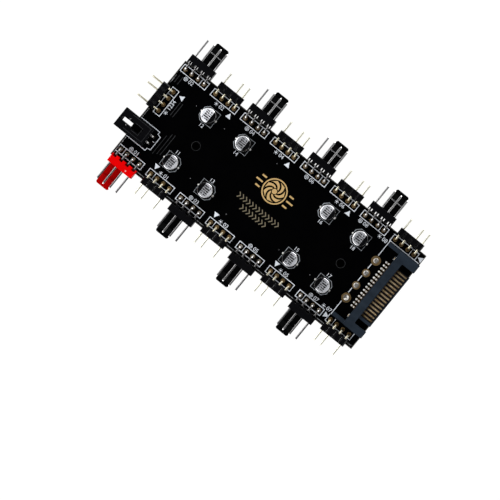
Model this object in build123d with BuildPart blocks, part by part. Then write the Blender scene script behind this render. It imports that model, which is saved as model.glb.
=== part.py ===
from build123d import *
import os
from dataclasses import dataclass

os.makedirs("parts", exist_ok=True)

# A fan and light hub: one circuit board with right-angle headers along both long edges, smoothing
# capacitors behind them, a keyed power plug at one end and the two signal inputs at the other.
# It lies flat on its soldered pin tails. X runs from the input end to the power end, and the origin
# is on the resting plane under the middle of the whole outline.

# Driving dimensions, all in millimetres

# Pins that every header shares
pin_pitch = 2.54
pin_size = 0.64
pin_bend = 0.4            # bevel on the outside of the bend where a pin turns down
pin_point = 0.35          # length of the tapered tip
tail_drop = 1.2           # how far the tails stand out below the board
pin_fit = 0.02            # gap round a pin in its housing
solder_fit = 0.02         # gap round a tail: solder fills the rest of the drilled hole

# Rows of headers along the two long edges
headers_per_edge = 8
header_pitch = 12.42
first_header = 5.73       # from the board's input end to the middle of the first header
last_header = 7.33        # from the middle of the last header to the board's power end
header_strip = 4.3        # strip of board beside the power plug that carries the pad rows
row_inset = 2.73          # from the nominal board edge in to the pad rows

# Board
board_thickness = 1.6
board_shift = 0.49        # the cut outline lies this far off the middle of the two pad rows
score_bevel = 0.3         # slope left along the edges by the scored break
mount_spacing = 60.0
mount_radius = 1.4

# Fan headers: a block with a locking tab under the pins
fan_pin_count = 4
fan_pin_height = 3.1
fan_pin_free = 6.9        # pin beyond the block
fan_block_gap = 2.2       # from the pad row out to the block
fan_block_depth = 3.12
fan_block_height = 6.0
fan_block_end = 0.99      # block beyond its end pins
fan_notch_depth = 0.85    # grooves down the back of the block where the pins leave it
fan_notch_side = 0.3
fan_tab_length = 7.85
fan_tab_width = 4.85
fan_tab_thickness = 1.1
fan_tab_corner = 0.4
fan_ramp_place = 4.25     # from the block out to the crest of the locking ramp
fan_ramp_rise = 0.45
fan_ramp_back = 0.3
fan_ramp_front = 2.0

# Light headers: a grooved bar with one pin cut short as a key
led_pin_count = 4
led_cut_pin = 1           # counted from the end away from pin one
led_pin_height = 1.27
led_pin_free = 4.25
led_block_gap = 1.8
led_block_depth = 2.54
led_block_height = 2.54
led_block_end = 0.92
led_groove = 0.4          # depth of the break-off grooves
led_stub = 0.3            # the cut pin ends this far inside the block
led_input_inset = 3.35    # from the input end in to the pads of the light input
led_input_place = 5.06    # across from the board's middle

# Two-way shrouded signal socket
socket_pin_count = 2
socket_pin_inset = 7.65   # from the input end in to its pads
socket_place = -7.64      # across from the board's middle
socket_overhang = 4.75
socket_width = 6.95
socket_height = 6.4
socket_wall = 0.9
socket_back_gap = 1.0     # from the pads out to the back of the shroud
socket_back = 2.6         # solid back that holds the pins
socket_pin_height = 3.2
socket_pin_free = 5.9
socket_slot_width = 1.3   # latch slot in the roof
socket_slot_bridge = 1.0  # roof left whole at the mouth
socket_slot_foot = 3.3    # length of its wider inner end
socket_slot_step = 0.4
socket_eye_width = 2.9    # cross cut over the pin tips
socket_eye_length = 0.7
socket_floor_slot = 3.6

# Fifteen-way power plug
contact_count = 15
contact_pitch = 1.27
contact_gap = 0.43        # bare plastic between two contacts
contact_thickness = 0.2
contact_foot = 1.45       # soldered foot behind the plug
contact_drop = 1.1        # from the plug's back in to the face where a contact turns down
contact_fit = 0.03
contact_short = 0.65      # contacts end this far behind the tongue's front edge
tongue_height = 2.2       # air under the tongue
tongue_thickness = 1.25
tongue_key_margin = 1.7   # tongue beyond the end contacts
tongue_far_margin = 0.7
tongue_short = 0.05       # tongue ends this far behind the arms
key_width = 1.0
key_rise = 1.1
window_gap = 2.0          # space between the tongue and each arm
arm_key_width = 2.6
arm_far_width = 3.15
arm_length = 4.75
plug_bar = 2.82
plug_height = 5.6
plug_overhang = 0.2
plug_place = 0.43         # across from the board's middle
leg_length = 4.5
leg_width = 1.35
leg_height = 2.0
nail_width = 1.2          # soldered hold-downs near both ends of the bar
nail_inset = 3.2
nail_foot = 0.4
nail_height = 2.4
nail_thickness = 0.3

# Capacitors
capacitor_columns = ((1, -1.01), (2, 0.85), (5, -1.38), (6, -0.43))  # header it stands behind, offset along
capacitor_inset = 9.65    # from the nominal board edge in to the capacitor's middle
can_radius = 2.5
can_height = 4.6
can_edge = 0.35
base_margin = 0.15
base_thickness = 0.8
base_corner = 1.2
lead_width = 0.7
lead_thickness = 0.15
lead_length = 0.3         # beyond the base

# Sizes that follow
pin_half = pin_size / 2
contact_width = contact_pitch - contact_gap
contact_row = (contact_count - 1) * contact_pitch
tongue_length = tongue_key_margin + contact_row + tongue_far_margin
plug_length = arm_key_width + tongue_length + 2 * window_gap + arm_far_width
board_width = plug_length + 2 * header_strip
board_length = first_header + (headers_per_edge - 1) * header_pitch + last_header
board_top = tail_drop + board_thickness
pad_row = board_width / 2 - row_inset
fan_block_outer = fan_block_gap + fan_block_depth
led_block_outer = led_block_gap + led_block_depth
led_reach = led_block_outer + led_pin_free
left_reach = max(socket_overhang, led_reach - led_input_inset)
board_left = (left_reach - plug_overhang - board_length) / 2
board_right = board_left + board_length
board_middle = (board_left + board_right) / 2
base_size = 2 * (can_radius + base_margin)


@dataclass
class Header:
    """A row of right-angle pins: local x runs along the row, y outward over the edge, z up."""
    name: str
    x: float
    y: float
    turn: float
    pin_height: float
    pins: tuple           # (place along the row, reach outward from the pads) of each pin

    @property
    def seat(self):
        return Plane((self.x, self.y, board_top), x_dir=Vector(1, 0, 0).rotate(Axis.Z, self.turn))

    def side(self, along):
        """Upright plane across the row: x outward, y up."""
        return Plane(self.seat.from_local_coords((along, 0, 0)), self.seat.y_dir, self.seat.x_dir)

    def front(self, outward):
        """Upright plane along the row, facing inward: x along the row, y up."""
        return Plane(self.seat.from_local_coords((0, outward, 0)), self.seat.x_dir, -self.seat.y_dir)


def row_places(count, pitch):
    return [(index - (count - 1) / 2) * pitch for index in range(count)]


fan_places = row_places(fan_pin_count, pin_pitch)
led_places = row_places(led_pin_count, pin_pitch)
socket_places = row_places(socket_pin_count, pin_pitch)
tab_place = fan_places[-2]
fan_pins = tuple((place, fan_block_outer + fan_pin_free) for place in fan_places)
led_stub_reach = led_block_outer - led_stub
led_reaches = [led_stub_reach if i == led_cut_pin else led_reach for i in range(led_pin_count)]
led_pins = tuple(zip(led_places, led_reaches))
socket_reach = socket_back_gap + socket_back + socket_pin_free
socket_pins = tuple((place, socket_reach) for place in socket_places)

# Fan and light headers take turns along each edge; odd numbers stand on the lower edge, turned round
fan_headers = []
led_headers = []
for column in range(headers_per_edge):
    x = board_left + first_header + column * header_pitch
    for number, side, turn in ((column // 2 * 2 + 1, -1, 180), (column // 2 * 2 + 2, 1, 0)):
        if column % 2 == 0:
            fan_headers.append(
                Header(f"fan_header_{number}", x, side * pad_row, turn, fan_pin_height, fan_pins))
        else:
            led_headers.append(
                Header(f"led_header_{number}", x, side * pad_row, turn, led_pin_height, led_pins))
led_headers.append(
    Header("led_input", board_left + led_input_inset, led_input_place - board_shift, 90,
           led_pin_height, led_pins))
signal_socket = Header("signal_socket", board_left + socket_pin_inset, socket_place - board_shift, 90,
                       socket_pin_height, socket_pins)
pin_rows = fan_headers + led_headers + [signal_socket]

# Circuit board, with bevelled broken edges and a hole for every tail
with BuildPart() as circuit_board:
    with BuildSketch(Plane.XY.offset(tail_drop)):
        with Locations((board_middle, -board_shift)):
            Rectangle(board_length, board_width)
    extrude(amount=board_thickness)
    chamfer(circuit_board.edges().filter_by(Axis.Z, reverse=True), score_bevel)
    with BuildSketch(Plane.XY.offset(board_top)):
        for row in pin_rows:
            with Locations(*[row.seat.from_local_coords((place, 0, 0)) for place, _ in row.pins]):
                Rectangle(pin_size + 2 * solder_fit, pin_size + 2 * solder_fit)
        with Locations((board_middle, -board_shift)):
            with GridLocations(mount_spacing, 0, 2, 1):
                Circle(mount_radius)
    extrude(amount=-board_thickness, mode=Mode.SUBTRACT)
circuit_board.part.label = "circuit_board"
export_step(circuit_board.part, "parts/circuit_board.step")

# Right-angle pins: out through the housing, with a tapered tip, and down through the board
for row in pin_rows:
    top = row.pin_height + pin_half
    under = row.pin_height - pin_half
    tail_end = -board_thickness - tail_drop
    with BuildPart() as header_pins:
        for place, reach in row.pins:
            with BuildSketch(row.side(place)):
                with BuildLine():
                    Polyline((-pin_half, tail_end), (pin_half, tail_end), (pin_half, under),
                             (reach - pin_point, under), (reach, under + pin_half / 2),
                             (reach, top - pin_half / 2), (reach - pin_point, top),
                             (pin_bend - pin_half, top), (-pin_half, top - pin_bend), close=True)
                make_face()
        extrude(amount=pin_half, both=True)
    header_pins.part.label = f"{row.name}_pins"
    export_step(header_pins.part, f"parts/{row.name}_pins.step")

# Fan housings: block with grooved back, locking tab with its ramp, and the pin bores
for row in fan_headers:
    block_length = (fan_pin_count - 1) * pin_pitch + 2 * fan_block_end
    ramp_foot = fan_block_outer + fan_ramp_place - fan_ramp_back
    ramp_crest = fan_block_outer + fan_ramp_place
    tab_end = fan_block_outer + fan_tab_length
    notch_width = pin_size + 2 * (pin_fit + fan_notch_side)
    with BuildPart() as fan_housing:
        with BuildSketch(row.seat):
            with Locations((0, fan_block_gap + fan_block_depth / 2)):
                Rectangle(block_length, fan_block_depth)
            with Locations(*[(place, fan_block_gap + fan_notch_depth / 2) for place in fan_places]):
                Rectangle(notch_width, fan_notch_depth, mode=Mode.SUBTRACT)
        extrude(amount=fan_block_height)
        with BuildSketch(row.side(tab_place)):
            with BuildLine():
                Polyline((fan_block_outer, 0), (tab_end, 0), (tab_end, fan_tab_thickness),
                         (ramp_crest + fan_ramp_front, fan_tab_thickness),
                         (ramp_crest, fan_tab_thickness + fan_ramp_rise),
                         (ramp_foot, fan_tab_thickness), (fan_block_outer, fan_tab_thickness), close=True)
            make_face()
        extrude(amount=fan_tab_width / 2, both=True)
        tab_corners = fan_housing.edges().filter_by(Axis.Z).sort_by(Axis(row.seat.origin, row.seat.y_dir))[-2:]
        chamfer(tab_corners, fan_tab_corner)
        with BuildSketch(row.front(fan_block_outer)):
            with Locations(*[(place, fan_pin_height) for place in fan_places]):
                Rectangle(pin_size + 2 * pin_fit, pin_size + 2 * pin_fit)
        extrude(amount=fan_block_depth, mode=Mode.SUBTRACT)
    fan_housing.part.label = f"{row.name}_housing"
    export_step(fan_housing.part, f"parts/{row.name}_housing.step")

# Light housings: a bar with sloped ends and break-off grooves between the pins
for row in led_headers:
    block_length = (led_pin_count - 1) * pin_pitch + 2 * led_block_end
    groove_places = row_places(led_pin_count - 1, pin_pitch)
    with BuildPart() as led_housing:
        with BuildSketch(row.front(led_block_outer)) as bar:
            with Locations((0, led_block_height / 2)):
                Rectangle(block_length, led_block_height)
            chamfer(bar.vertices(), led_groove)
            with Locations(*[(place, led_block_height) for place in groove_places]):
                Rectangle(2**0.5 * led_groove, 2**0.5 * led_groove, rotation=45, mode=Mode.SUBTRACT)
            with Locations(*[(place, led_pin_height) for place in led_places]):
                Rectangle(pin_size + 2 * pin_fit, pin_size + 2 * pin_fit, mode=Mode.SUBTRACT)
        extrude(amount=led_block_depth)
    led_housing.part.label = f"{row.name}_housing"
    export_step(led_housing.part, f"parts/{row.name}_housing.step")

# Signal socket: a shroud open at its outer end, with the latch slot in its roof
shroud_mouth = socket_pin_inset + socket_overhang
cavity_back = socket_back_gap + socket_back
slot_end = shroud_mouth - socket_slot_bridge
eye_place = socket_reach - socket_eye_length / 2
roof_top = signal_socket.seat.offset(socket_height)
with BuildPart() as socket_housing:
    with BuildSketch(signal_socket.front(shroud_mouth)):
        with Locations((0, socket_height / 2)):
            Rectangle(socket_width, socket_height)
    extrude(amount=shroud_mouth - socket_back_gap)
    with BuildSketch(signal_socket.front(shroud_mouth)):
        with Locations((0, socket_height / 2)):
            Rectangle(socket_width - 2 * socket_wall, socket_height - 2 * socket_wall)
    extrude(amount=shroud_mouth - cavity_back, mode=Mode.SUBTRACT)
    with BuildSketch(roof_top):
        with Locations((0, (cavity_back + slot_end) / 2)):
            Rectangle(socket_slot_width, slot_end - cavity_back)
        with Locations((0, cavity_back + socket_slot_foot / 2)):
            Rectangle(socket_slot_width + 2 * socket_slot_step, socket_slot_foot)
        with Locations((0, eye_place)):
            Rectangle(socket_eye_width, socket_eye_length)
    extrude(amount=-socket_wall, mode=Mode.SUBTRACT)
    with BuildSketch(signal_socket.seat):
        with Locations((0, slot_end - socket_floor_slot / 2)):
            Rectangle(socket_slot_width, socket_floor_slot)
    extrude(amount=socket_wall, mode=Mode.SUBTRACT)
    with BuildSketch(signal_socket.front(cavity_back)):
        with Locations(*[(place, socket_pin_height) for place in socket_places]):
            Rectangle(pin_size + 2 * pin_fit, pin_size + 2 * pin_fit)
    extrude(amount=socket_back, mode=Mode.SUBTRACT)
socket_housing.part.label = "signal_socket_housing"
export_step(socket_housing.part, "parts/signal_socket_housing.step")

# Power plug: places along and across the board
plug_front = board_right + plug_overhang
bar_front = plug_front - arm_length
bar_back = bar_front - plug_bar
tongue_front = plug_front - tongue_short
contact_front = tongue_front - contact_short
contact_turn = bar_back + contact_drop
tongue_top = tongue_height + tongue_thickness
plug_low = plug_place - board_shift - plug_length / 2
plug_high = plug_low + plug_length
tongue_low = plug_low + arm_key_width + window_gap
contact_places = [tongue_low + tongue_key_margin + index * contact_pitch for index in range(contact_count)]
nail_places = [plug_low + nail_inset, plug_high - nail_inset]
contact_planes = [Plane((0, y, board_top), (1, 0, 0), (0, -1, 0)) for y in contact_places]
nail_planes = [Plane((0, y, board_top), (1, 0, 0), (0, -1, 0)) for y in nail_places]

# Housing: bar, arms and legs on the board, and the keyed tongue reaching out between the arms
with BuildPart() as plug_housing:
    with BuildSketch(Plane.XY.offset(board_top)):
        with BuildLine():
            Polyline((bar_back, plug_low), (plug_front, plug_low), (plug_front, plug_low + arm_key_width),
                     (bar_front, plug_low + arm_key_width), (bar_front, plug_high - arm_far_width),
                     (plug_front, plug_high - arm_far_width), (plug_front, plug_high),
                     (bar_back, plug_high), close=True)
        make_face()
    extrude(amount=plug_height)
    with BuildSketch(Plane.XY.offset(board_top)):
        with Locations((bar_back, plug_low), (bar_back, plug_high - leg_width)):
            Rectangle(leg_length, leg_width, align=(Align.MAX, Align.MIN))
    extrude(amount=leg_height)
    with BuildSketch(Plane.XY.offset(board_top + tongue_height)):
        with Locations((bar_front, tongue_low)):
            Rectangle(tongue_front - bar_front, tongue_length, align=(Align.MIN, Align.MIN))
    extrude(amount=tongue_thickness)
    with BuildSketch(Plane.XY.offset(board_top + tongue_top)):
        with Locations((bar_front, tongue_low)):
            Rectangle(tongue_front - bar_front, key_width, align=(Align.MIN, Align.MIN))
    extrude(amount=key_rise)
    with BuildSketch(*contact_planes):
        with BuildLine():
            Polyline((bar_back, 0), (contact_turn + contact_fit, 0),
                     (contact_turn + contact_fit, tongue_top - contact_thickness),
                     (contact_front + contact_fit, tongue_top - contact_thickness),
                     (contact_front + contact_fit, tongue_top + contact_fit),
                     (bar_back, tongue_top + contact_fit), close=True)
        make_face()
    extrude(amount=contact_width / 2 + contact_fit, both=True, mode=Mode.SUBTRACT)
    with BuildSketch(*nail_planes):
        with Locations((bar_back, 0)):
            Rectangle(nail_thickness + contact_fit, nail_height + contact_fit, align=(Align.MIN, Align.MIN))
    extrude(amount=nail_width / 2 + contact_fit, both=True, mode=Mode.SUBTRACT)
plug_housing.part.label = "power_plug_housing"
export_step(plug_housing.part, "parts/power_plug_housing.step")

# Contacts: a strip let into the tongue, a drop behind the bar and a soldered foot
with BuildPart() as plug_contacts:
    with BuildSketch(*contact_planes):
        with BuildLine():
            Polyline((bar_back - contact_foot, 0), (contact_turn, 0),
                     (contact_turn, tongue_top - contact_thickness),
                     (contact_front, tongue_top - contact_thickness), (contact_front, tongue_top),
                     (contact_turn - contact_thickness, tongue_top),
                     (contact_turn - contact_thickness, contact_thickness),
                     (bar_back - contact_foot, contact_thickness), close=True)
        make_face()
    extrude(amount=contact_width / 2, both=True)
plug_contacts.part.label = "power_plug_contacts"
export_step(plug_contacts.part, "parts/power_plug_contacts.step")

# Hold-downs: an upright in the back of the bar and a foot soldered to the board
with BuildPart() as plug_nails:
    with BuildSketch(*nail_planes):
        with BuildLine():
            Polyline((bar_back - nail_foot, 0), (bar_back + nail_thickness, 0),
                     (bar_back + nail_thickness, nail_height), (bar_back, nail_height),
                     (bar_back, nail_thickness), (bar_back - nail_foot, nail_thickness), close=True)
        make_face()
    extrude(amount=nail_width / 2, both=True)
plug_nails.part.label = "power_plug_hold_downs"
export_step(plug_nails.part, "parts/power_plug_hold_downs.step")

# Capacitors: odd ones on the lower side, turned round like the headers
capacitor_seats = []
for pair, (column, offset_along) in enumerate(capacitor_columns):
    x = board_left + first_header + column * header_pitch + offset_along
    y = board_width / 2 - capacitor_inset
    capacitor_seats.append((2 * pair + 1, Plane((x, -y, board_top), x_dir=(-1, 0, 0))))
    capacitor_seats.append((2 * pair + 2, Plane((x, y, board_top), x_dir=(1, 0, 0))))
lead_middle = (base_size + lead_length) / 2

for number, seat in capacitor_seats:
    # Moulded base with two cut corners at its plus end
    with BuildPart() as base:
        with BuildSketch(seat) as plate:
            Rectangle(base_size, base_size)
            chamfer(plate.vertices().group_by(Axis.X)[0], base_corner)
        extrude(amount=base_thickness)
    base.part.label = f"capacitor_{number}_base"
    export_step(base.part, f"parts/capacitor_{number}_base.step")

    # Drawn can with an eased upper edge
    with BuildPart() as can:
        with BuildSketch(Plane(seat.offset(base_thickness).origin, seat.x_dir, -seat.y_dir)):
            with BuildLine():
                Polyline((0, 0), (can_radius, 0), (can_radius, can_height - can_edge),
                         (can_radius - can_edge, can_height), (0, can_height), close=True)
            make_face()
        revolve(axis=Axis(seat.origin, seat.z_dir))
    can.part.label = f"capacitor_{number}_can"
    export_step(can.part, f"parts/capacitor_{number}_can.step")

# Leads of all the capacitors, where they leave the bases to be soldered
with BuildPart() as leads:
    with BuildSketch(*[seat for _, seat in capacitor_seats]):
        with Locations((-lead_middle, 0), (lead_middle, 0)):
            Rectangle(lead_length, lead_width)
    extrude(amount=lead_thickness)
leads.part.label = "capacitor_leads"
export_step(leads.part, "parts/capacitor_leads.step")
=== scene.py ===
# %% [markdown]
# # A fan and light hub, dressed for its picture
# The solids of this hub come from its CAD model: a black circuit board, rows of right-angle headers,
# eight small capacitors and a keyed power plug. This lesson gives each of them a finish, and adds the
# thin things that CAD leaves out, such as printed legends, solder and plated pads.

# %% Load the frame
import math
import bmesh
import bpy
from mathutils import Matrix, Vector


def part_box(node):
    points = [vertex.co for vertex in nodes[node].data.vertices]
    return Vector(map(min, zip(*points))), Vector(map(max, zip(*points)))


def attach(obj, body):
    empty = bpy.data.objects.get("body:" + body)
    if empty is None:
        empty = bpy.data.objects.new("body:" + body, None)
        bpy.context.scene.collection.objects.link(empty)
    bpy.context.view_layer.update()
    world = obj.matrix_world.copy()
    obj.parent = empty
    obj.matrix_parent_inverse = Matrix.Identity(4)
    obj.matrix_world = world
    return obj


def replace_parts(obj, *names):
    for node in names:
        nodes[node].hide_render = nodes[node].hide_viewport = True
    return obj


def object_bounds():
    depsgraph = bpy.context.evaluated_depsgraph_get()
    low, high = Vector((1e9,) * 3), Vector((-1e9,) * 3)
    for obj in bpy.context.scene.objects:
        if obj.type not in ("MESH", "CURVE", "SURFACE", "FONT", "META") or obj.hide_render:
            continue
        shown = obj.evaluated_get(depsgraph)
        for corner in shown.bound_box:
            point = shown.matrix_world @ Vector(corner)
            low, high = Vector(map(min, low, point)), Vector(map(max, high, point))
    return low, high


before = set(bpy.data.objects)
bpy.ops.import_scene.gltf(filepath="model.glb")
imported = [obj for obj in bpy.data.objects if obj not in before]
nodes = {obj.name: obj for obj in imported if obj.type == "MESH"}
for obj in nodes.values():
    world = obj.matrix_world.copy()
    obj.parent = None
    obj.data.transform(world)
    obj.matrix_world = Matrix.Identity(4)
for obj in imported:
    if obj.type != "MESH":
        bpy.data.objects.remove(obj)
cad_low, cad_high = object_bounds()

scene = bpy.context.scene
mm = 0.001
print(len(nodes), "nodes, box", [round(v / mm, 2) for v in (*cad_low, *cad_high)])

# %% [markdown]
# The board lies flat and is seen from almost straight above, turned so that its input end is at the upper
# left. A long lens a metre away keeps the two long edges parallel. The camera is built from three
# directions, because an aim alone would leave the roll of the picture open.

# %% Camera
camera_place = Vector((28.2, 6.07, 1011.0)) * mm
camera_aim = Vector((7.16, -15.51, 2.8)) * mm
picture_right = Vector((0.776, 0.630, 0.0))
lens_mm = 225.5

camera = bpy.data.objects.new("camera", bpy.data.cameras.new("camera"))
scene.collection.objects.link(camera)
back = (camera_place - camera_aim).normalized()
up = back.cross(picture_right).normalized()
turn = Matrix((up.cross(back), up, back)).transposed()
camera.matrix_world = Matrix.Translation(camera_place) @ turn.to_4x4()
camera.data.lens = lens_mm
camera.data.clip_start, camera.data.clip_end = 0.01, 100
scene.camera = camera
print("camera looks down at", round(math.degrees(math.asin(back.z)), 1), "degrees")

# %% [markdown]
# Every finish here is a graph of nodes. Wiring them one by one hides the idea behind a finish, so a small
# class wraps an output socket and turns `1 - mask` or `grain * 0.3` into Math nodes. All other nodes come
# from one method, which sets a node's own settings first and then feeds its sockets.

# %% Shader maths as Python
class Signal:
    """One output socket, on which arithmetic adds Math nodes."""

    def __init__(self, graph, socket):
        self.graph, self.socket = graph, socket

    def math(self, operation, first, second=0.0):
        return self.graph.node("ShaderNodeMath", {"operation": operation}, {0: first, 1: second})

    def __add__(self, other):
        return self.math("ADD", self, other)

    def __sub__(self, other):
        return self.math("SUBTRACT", self, other)

    def __rsub__(self, other):
        return self.math("SUBTRACT", other, self)

    def __mul__(self, other):
        return self.math("MULTIPLY", self, other)

    def __abs__(self):
        return self.math("ABSOLUTE", self)

    __radd__, __rmul__ = __add__, __mul__


class Graph:
    """A tree of shader nodes with a few short ways to add to it."""

    def __init__(self, tree):
        self.tree = tree

    def feed(self, socket, value):
        if isinstance(value, Signal):
            self.tree.links.new(value.socket, socket)
        else:
            socket.default_value = value

    def node(self, kind, settings=None, inputs=None, output=0):
        made = self.tree.nodes.new(kind)
        for key, value in (settings or {}).items():
            setattr(made, key, value)
        for key, value in (inputs or {}).items():
            self.feed(made.inputs[key], value)
        return Signal(self, made.outputs[output])

    def place(self):
        """Where a point of the surface is, in millimetres of the hub's own frame."""
        where = self.node("ShaderNodeTexCoord", output="Object")
        return self.node("ShaderNodeVectorMath", {"operation": "SCALE"}, {0: where, "Scale": 1000.0})

    def stretched(self, x, y, z):
        return self.node("ShaderNodeVectorMath", {"operation": "MULTIPLY"}, {0: self.place(), 1: (x, y, z)})

    def noise(self, where, scale, detail=2.0):
        return self.node("ShaderNodeTexNoise", None, {"Vector": where, "Scale": scale, "Detail": detail})

    def step(self, value, low, high):
        """0 below low, 1 above high, and a smooth rise between them."""
        settings = {"interpolation_type": "SMOOTHSTEP"}
        return self.node("ShaderNodeMapRange", settings, {0: value, 1: low, 2: high})

    def mix(self, mask, below, above):
        settings = {"data_type": "RGBA"}
        return self.node("ShaderNodeMix", settings, {0: mask, 6: below, 7: above}, output=2)

    def facing_up(self):
        """How far a surface faces up or down: 1 on a flat top, 0 on an upright side."""
        normal = self.node("ShaderNodeNewGeometry", output="Normal")
        return abs(self.node("ShaderNodeSeparateXYZ", None, {0: normal}, output="Z"))


class Finish(Graph):
    """A material whose Principled shader is set by socket name, with numbers or with signals."""

    def __init__(self, name, **sockets):
        self.material = bpy.data.materials.new(name)
        self.material.use_nodes = True
        super().__init__(self.material.node_tree)
        self.shader = self.tree.nodes["Principled BSDF"]
        self.set(**sockets)

    def set(self, **sockets):
        for name, value in sockets.items():
            self.feed(self.shader.inputs[name.replace("_", " ")], value)

    def bump(self, height, depth_mm):
        sockets = {"Strength": 1.0, "Distance": depth_mm * mm, "Height": height}
        self.set(Normal=self.node("ShaderNodeBump", None, sockets))


def rgb(red, green, blue):
    return (red, green, blue, 1.0)


print("shader helpers ready")

# %% [markdown]
# The picture was taken on white with nothing bright straight above: the glossy black board mirrors that dark
# patch and reads as black, while every eased edge catches the bright surroundings. The world is therefore
# bright near the horizon and dark overhead, and brighter toward the input end. A plain white world would be
# simpler, but it would turn the board grey.

# %% World
world = bpy.data.worlds.new("studio")
scene.world = world
world.use_nodes = True
sky = Graph(world.node_tree)
direction = sky.node("ShaderNodeTexCoord", output="Generated")
along, height = [sky.node("ShaderNodeSeparateXYZ", None, {0: direction}, output=axis) for axis in "XZ"]
overhead = sky.step(height, 0.70, 0.95)
sides = sky.mix(sky.step(along, -0.7, 0.7), rgb(0.95, 0.96, 0.99), rgb(0.42, 0.425, 0.44))
background = world.node_tree.nodes["Background"]
sky.feed(background.inputs["Color"], sky.mix(overhead, sides, rgb(0.005, 0.005, 0.006)))
background.inputs["Strength"].default_value = 1.0
scene.view_settings.view_transform = "Standard"
print("world made")

# %% [markdown]
# Soft lamps stand square to the board's edges, because the rounded side of a pin only mirrors a lamp that
# stands straight across from it. The ones at the input end and at the upper edge are the strongest.

# %% Lamps
def soft_lamp(name, toward, elevation, distance, size, watts):
    """A square softbox that faces the board, in the direction toward, seen from above."""
    lamp = bpy.data.objects.new(name, bpy.data.lights.new(name, "AREA"))
    scene.collection.objects.link(lamp)
    lamp.data.energy, lamp.data.size = watts, size
    flat = Vector((*toward, 0.0)).normalized() * math.cos(math.radians(elevation))
    out = Vector((flat.x, flat.y, math.sin(math.radians(elevation))))
    lamp.location = out * distance
    lamp.rotation_euler = out.to_track_quat("Z", "Y").to_euler()


soft_lamp("key_lamp", (-1.0, -0.15), 36, 0.8, 0.45, 3.0)
soft_lamp("front_lamp", (-0.15, -1.0), 36, 0.8, 0.45, 1.4)
soft_lamp("fill_lamp", (1.0, 0.2), 32, 0.9, 0.5, 0.7)
soft_lamp("rim_lamp", (0.1, 1.0), 30, 0.9, 0.5, 3.0)

# %% [markdown]
# The floor is a wide white plane. It lies a hair under the lowest tails, so that nothing pokes through it.

# %% Floor
floor_reach, floor_gap = 20.0, 0.02 * mm
square = ((-1, -1), (1, -1), (1, 1), (-1, 1))
floor_mesh = bpy.data.meshes.new("floor")
floor_mesh.from_pydata([(x * floor_reach, y * floor_reach, 0) for x, y in square], [], [(0, 1, 2, 3)])
floor = bpy.data.objects.new("floor", floor_mesh)
floor.location.z = cad_low.z - floor_gap
scene.collection.objects.link(floor)
print("floor at", round(floor.location.z / mm, 2), "mm")

# %% [markdown]
# To the camera, and to metal that mirrors the floor, most of its white is its own light, so that it stays
# white right into the corners. The rest is a plain white surface, which keeps the shadow. Right under the
# board the floor gives no light and its colour is painted near black as shade, so the two screw holes look
# dark as they do in a real shadow.

# %% Floor finish
white = Finish("white_floor", Roughness=0.9, Specular_IOR_Level=0.0)
ray_kinds = ("Camera", "Glossy", "Transmission")
rays = [white.node("ShaderNodeLightPath", output=f"Is {kind} Ray") for kind in ray_kinds]
glow_share, glow_strength = 0.94, 1.05
board_box = [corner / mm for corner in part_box("circuit_board")]
painted_shade_under_board = 1.0
for axis, name in enumerate("XY"):
    middle = (board_box[0][axis] + board_box[1][axis]) / 2
    half = (board_box[1][axis] - board_box[0][axis]) / 2
    off_middle = abs(white.node("ShaderNodeSeparateXYZ", None, {0: white.place()}, output=name) - middle)
    painted_shade_under_board = painted_shade_under_board * (1 - white.step(off_middle, half - 1.5, half - 1.0))
# Painted shade: under the board the floor's colour is near black.
white.set(Base_Color=white.mix(painted_shade_under_board, rgb(0.9, 0.9, 0.9), rgb(0.02, 0.02, 0.02)))
seen = (rays[0] + rays[1] + rays[2]) * (1 - painted_shade_under_board) * glow_share
glow = white.node("ShaderNodeEmission", None, {"Color": rgb(1, 1, 1), "Strength": glow_strength})
surface = Signal(white, white.shader.outputs[0])
mixed = white.node("ShaderNodeMixShader", None, {0: seen, 1: surface, 2: glow})
white.feed(white.tree.nodes["Material Output"].inputs["Surface"], mixed)
floor_mesh.materials.append(white.material)
print("floor finish", white.material.name)

# %% [markdown]
# ## Finishes
# The board is glass fibre under a black lacquer, the solder mask. Its faces are glossy and very dark, with
# a slight unevenness where copper lies under the lacquer. Along the edges, where the panel was scored and
# broken, the fibre shows: rougher, greyer and layered. The way a surface faces tells the two apart.

# %% Board finish
mask_black = Finish("solder_mask", IOR=1.45, Specular_IOR_Level=0.05)
cloud = mask_black.noise(mask_black.place(), 0.35, 3.0)
peel = mask_black.noise(mask_black.place(), 5.0, 2.0)
layers = mask_black.noise(mask_black.stretched(3.0, 3.0, 22.0), 1.0, 4.0)
lacquered = mask_black.step(mask_black.facing_up(), 0.80, 0.92)
lacquer = mask_black.mix(cloud, rgb(0.0002, 0.0002, 0.0003), rgb(0.0007, 0.0007, 0.0009))
fibre = mask_black.mix(layers, rgb(0.020, 0.019, 0.016), rgb(0.090, 0.085, 0.072))
mask_black.set(Base_Color=mask_black.mix(lacquered, fibre, lacquer))
mask_black.set(Roughness=0.72 - lacquered * 0.46 + peel * 0.08)
mask_black.bump(peel * 0.3 + layers * (1 - lacquered), 0.02)
print("finish", mask_black.material.name)
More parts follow.
